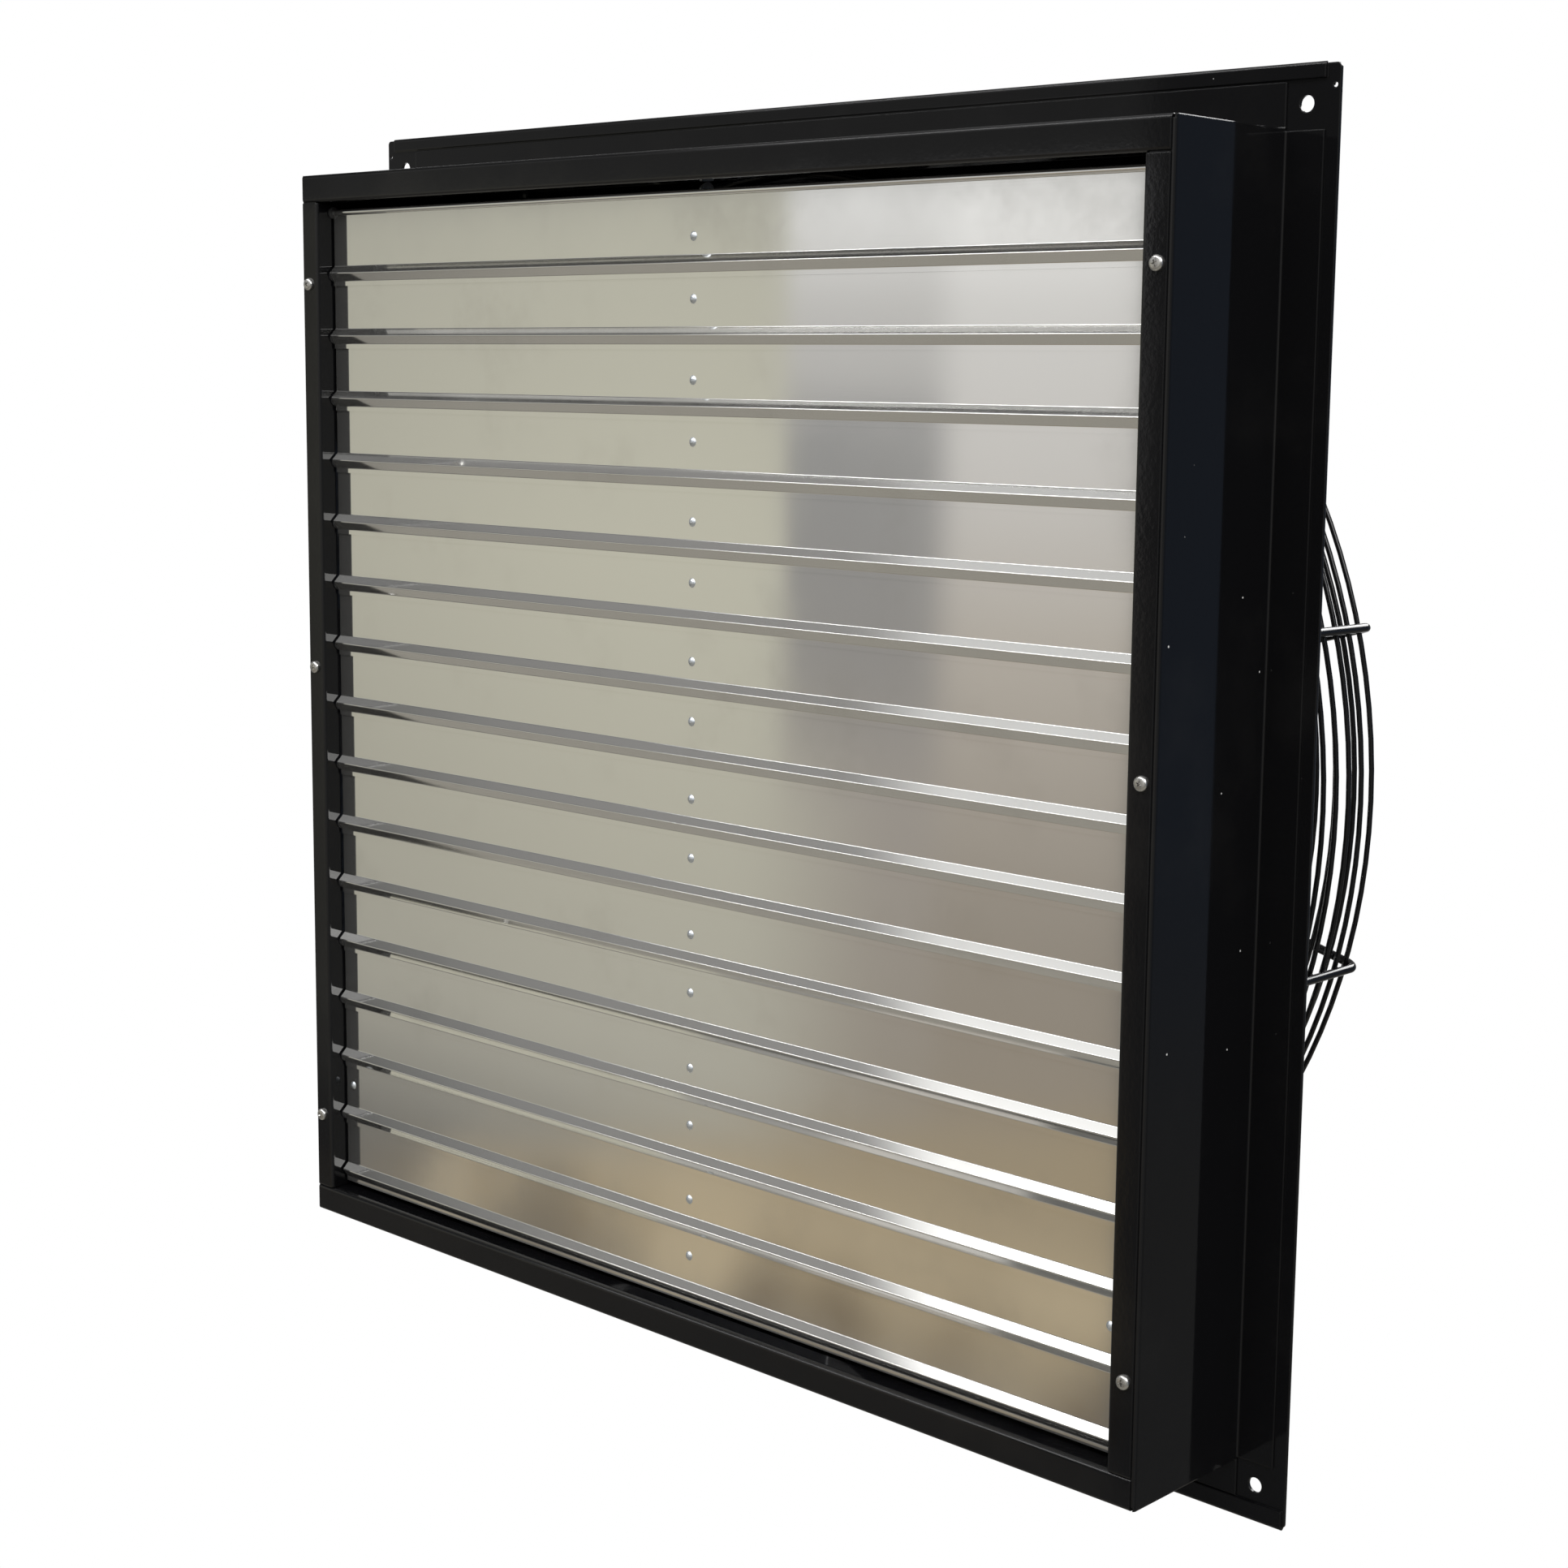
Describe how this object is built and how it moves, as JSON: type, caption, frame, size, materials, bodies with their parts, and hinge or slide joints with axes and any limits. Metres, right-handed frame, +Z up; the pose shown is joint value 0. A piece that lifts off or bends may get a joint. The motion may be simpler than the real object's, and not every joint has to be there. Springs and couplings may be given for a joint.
{
  "type": "shutter exhaust fan",
  "caption": "Square wall exhaust fan: a panel with a shallow box of coupled gravity louvres in front and a wire-guarded axial fan wheel behind.",
  "frame": {"origin": "centre of the four wall bolt holes, on the panel's front face", "axes": "+X to the right seen from the shutter, +Y into the room towards the guard, +Z up"},
  "size_m": [0.914, 0.2711, 0.916],
  "materials": {
    "black_coat": "glossy black powder coat",
    "black_wire": "glossy black dipped coat",
    "bright_sheet": "bright mill sheet",
    "fitting_metal": "plain mill finish",
    "stainless": "bright stainless",
    "zinc_steel": "zinc plated",
    "lamination": "dark varnished laminations",
    "nylon": "moulded black nylon",
    "motor_black": "satin black paint",
    "blade_metal": "pressed sheet, satin",
    "cast_metal": "die cast",
    "box_plastic": "moulded dark plastic"
  },
  "bodies": {
    "frame": {"wall_panel": "black_coat", "venturi_ring": "black_coat", "box_top": "black_coat", "box_bottom": "black_coat", "box_left": "black_coat", "box_right": "black_coat", "stile_left": "black_coat", "stile_right": "black_coat", "stile_screws": "stainless", "pivot_bushes": "nylon", "guard_face_rings": "black_wire", "guard_side_rings": "black_wire", "guard_spokes": "black_wire", "guard_fasteners": "zinc_steel", "motor_plate": "black_wire", "motor_base": "cast_metal", "motor_bolts": "zinc_steel", "stator_core": "lamination", "motor_bearings": "stainless", "terminal_box": "box_plastic", "terminal_lid": "box_plastic", "cable_gland": "box_plastic"},
    "fan_wheel": {"motor_shaft": "stainless", "rotor_can": "motor_black", "rotor_core": "lamination", "fan_blades": "blade_metal", "blade_rivets": "zinc_steel"},
    "leaf_01": {"louvre_01": "bright_sheet", "louvre_01_fittings": "fitting_metal"},
    "leaf_02": {"louvre_02": "bright_sheet", "louvre_02_fittings": "fitting_metal"},
    "leaf_03": {"louvre_03": "bright_sheet", "louvre_03_fittings": "fitting_metal"},
    "leaf_04": {"louvre_04": "bright_sheet", "louvre_04_fittings": "fitting_metal"},
    "leaf_05": {"louvre_05": "bright_sheet", "louvre_05_fittings": "fitting_metal"},
    "leaf_06": {"louvre_06": "bright_sheet", "louvre_06_fittings": "fitting_metal"},
    "leaf_07": {"louvre_07": "bright_sheet", "louvre_07_fittings": "fitting_metal"},
    "leaf_08": {"louvre_08": "bright_sheet", "louvre_08_fittings": "fitting_metal"},
    "leaf_09": {"louvre_09": "bright_sheet", "louvre_09_fittings": "fitting_metal"},
    "leaf_10": {"louvre_10": "bright_sheet", "louvre_10_fittings": "fitting_metal"},
    "leaf_11": {"louvre_11": "bright_sheet", "louvre_11_fittings": "fitting_metal"},
    "leaf_12": {"louvre_12": "bright_sheet", "louvre_12_fittings": "fitting_metal"},
    "leaf_13": {"louvre_13": "bright_sheet", "louvre_13_fittings": "fitting_metal"},
    "leaf_14": {"louvre_14": "bright_sheet", "louvre_14_fittings": "fitting_metal"},
    "leaf_15": {"louvre_15": "bright_sheet", "louvre_15_fittings": "fitting_metal"},
    "leaf_16": {"louvre_16": "bright_sheet", "louvre_16_fittings": "fitting_metal"},
    "tie_bar": {"tie_bar": "fitting_metal"}
  },
  "joints": [
    {"name": "fan_spin", "type": "hinge", "parent": "frame", "child": "fan_wheel", "pos_m": [0, 0, 0], "axis": [0, 1, 0], "continuous": true},
    {"name": "leaf_01_swing", "type": "hinge", "parent": "frame", "child": "leaf_01", "pos_m": [0, -0.0988, 0.3915], "axis": [-1, 0, 0], "range_deg": [0, 78]},
    {"name": "leaf_02_swing", "type": "hinge", "parent": "frame", "child": "leaf_02", "pos_m": [0, -0.0988, 0.3429], "axis": [-1, 0, 0], "range_deg": [0, 78]},
    {"name": "leaf_03_swing", "type": "hinge", "parent": "frame", "child": "leaf_03", "pos_m": [0, -0.0988, 0.2943], "axis": [-1, 0, 0], "range_deg": [0, 78]},
    {"name": "leaf_04_swing", "type": "hinge", "parent": "frame", "child": "leaf_04", "pos_m": [0, -0.0988, 0.2457], "axis": [-1, 0, 0], "range_deg": [0, 78]},
    {"name": "leaf_05_swing", "type": "hinge", "parent": "frame", "child": "leaf_05", "pos_m": [0, -0.0988, 0.1971], "axis": [-1, 0, 0], "range_deg": [0, 78]},
    {"name": "leaf_06_swing", "type": "hinge", "parent": "frame", "child": "leaf_06", "pos_m": [0, -0.0988, 0.1485], "axis": [-1, 0, 0], "range_deg": [0, 78]},
    {"name": "leaf_07_swing", "type": "hinge", "parent": "frame", "child": "leaf_07", "pos_m": [0, -0.0988, 0.0999], "axis": [-1, 0, 0], "range_deg": [0, 78]},
    {"name": "leaf_08_swing", "type": "hinge", "parent": "frame", "child": "leaf_08", "pos_m": [0, -0.0988, 0.0513], "axis": [-1, 0, 0], "range_deg": [0, 78]},
    {"name": "leaf_09_swing", "type": "hinge", "parent": "frame", "child": "leaf_09", "pos_m": [0, -0.0988, 0.0027], "axis": [-1, 0, 0], "range_deg": [0, 78]},
    {"name": "leaf_10_swing", "type": "hinge", "parent": "frame", "child": "leaf_10", "pos_m": [0, -0.0988, -0.0459], "axis": [-1, 0, 0], "range_deg": [0, 78]},
    {"name": "leaf_11_swing", "type": "hinge", "parent": "frame", "child": "leaf_11", "pos_m": [0, -0.0988, -0.0945], "axis": [-1, 0, 0], "range_deg": [0, 78]},
    {"name": "leaf_12_swing", "type": "hinge", "parent": "frame", "child": "leaf_12", "pos_m": [0, -0.0988, -0.1431], "axis": [-1, 0, 0], "range_deg": [0, 78]},
    {"name": "leaf_13_swing", "type": "hinge", "parent": "frame", "child": "leaf_13", "pos_m": [0, -0.0988, -0.1917], "axis": [-1, 0, 0], "range_deg": [0, 78]},
    {"name": "leaf_14_swing", "type": "hinge", "parent": "frame", "child": "leaf_14", "pos_m": [0, -0.0988, -0.2403], "axis": [-1, 0, 0], "range_deg": [0, 78]},
    {"name": "leaf_15_swing", "type": "hinge", "parent": "frame", "child": "leaf_15", "pos_m": [0, -0.0988, -0.2889], "axis": [-1, 0, 0], "range_deg": [0, 78]},
    {"name": "leaf_16_swing", "type": "hinge", "parent": "frame", "child": "leaf_16", "pos_m": [0, -0.0988, -0.3375], "axis": [-1, 0, 0], "range_deg": [0, 78]},
    {"name": "tie_bar_pivot", "type": "hinge", "parent": "leaf_01", "child": "tie_bar", "pos_m": [0.0012, -0.0788, 0.3955], "axis": [-1, 0, 0], "range_deg": [-78, 0]}
  ],
  "couplings": [
    {"joint": "leaf_02_swing", "follows": "leaf_01_swing", "ratio": 1},
    {"joint": "leaf_03_swing", "follows": "leaf_01_swing", "ratio": 1},
    {"joint": "leaf_04_swing", "follows": "leaf_01_swing", "ratio": 1},
    {"joint": "leaf_05_swing", "follows": "leaf_01_swing", "ratio": 1},
    {"joint": "leaf_06_swing", "follows": "leaf_01_swing", "ratio": 1},
    {"joint": "leaf_07_swing", "follows": "leaf_01_swing", "ratio": 1},
    {"joint": "leaf_08_swing", "follows": "leaf_01_swing", "ratio": 1},
    {"joint": "leaf_09_swing", "follows": "leaf_01_swing", "ratio": 1},
    {"joint": "leaf_10_swing", "follows": "leaf_01_swing", "ratio": 1},
    {"joint": "leaf_11_swing", "follows": "leaf_01_swing", "ratio": 1},
    {"joint": "leaf_12_swing", "follows": "leaf_01_swing", "ratio": 1},
    {"joint": "leaf_13_swing", "follows": "leaf_01_swing", "ratio": 1},
    {"joint": "leaf_14_swing", "follows": "leaf_01_swing", "ratio": 1},
    {"joint": "leaf_15_swing", "follows": "leaf_01_swing", "ratio": 1},
    {"joint": "leaf_16_swing", "follows": "leaf_01_swing", "ratio": 1},
    {"joint": "tie_bar_pivot", "follows": "leaf_01_swing", "ratio": -1}
  ]
}
